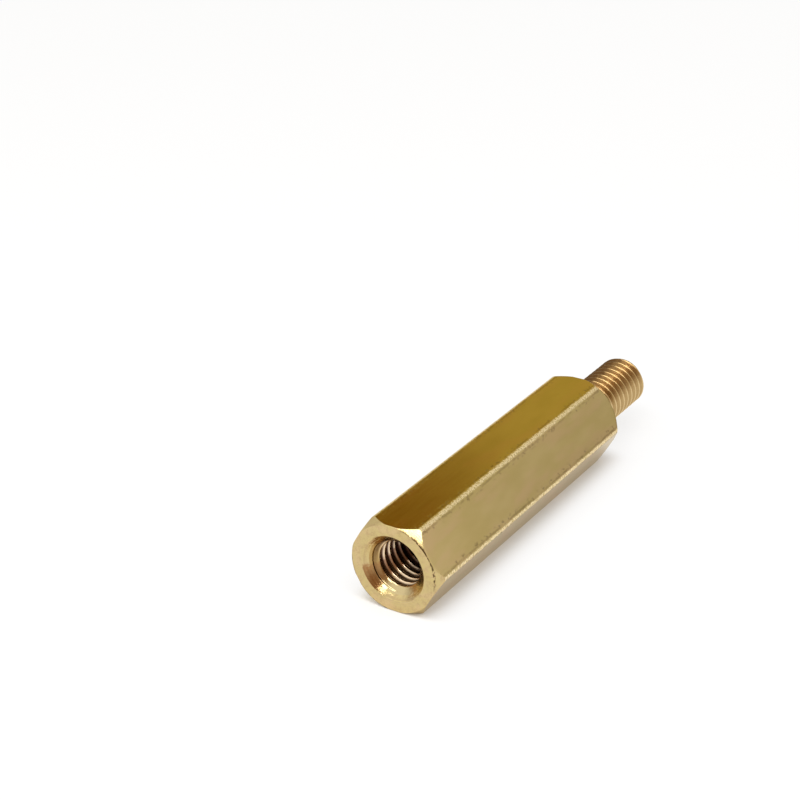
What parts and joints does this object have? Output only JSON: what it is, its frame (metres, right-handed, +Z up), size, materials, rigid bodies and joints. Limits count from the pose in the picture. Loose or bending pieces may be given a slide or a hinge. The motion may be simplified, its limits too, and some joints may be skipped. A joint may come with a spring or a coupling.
{
  "type": "hex standoff",
  "caption": "Brass male-female hexagon standoff: tapped hole in one end, threaded stud on the other, for spacing and fixing circuit boards.",
  "frame": {"origin": "on the axis in the plane of the shoulder, where the stud leaves the hexagon body", "axes": "+Y along the axis out of the stud's tip, the tapped end faces -Y, and +Z is up with one flat of the hexagon facing straight down"},
  "size_m": [0.0056, 0.026, 0.005],
  "materials": {
    "standoff": "bright drawn flats, finely turned ends and cut threads"
  },
  "bodies": {
    "root": {"standoff": "standoff"}
  },
  "joints": []
}
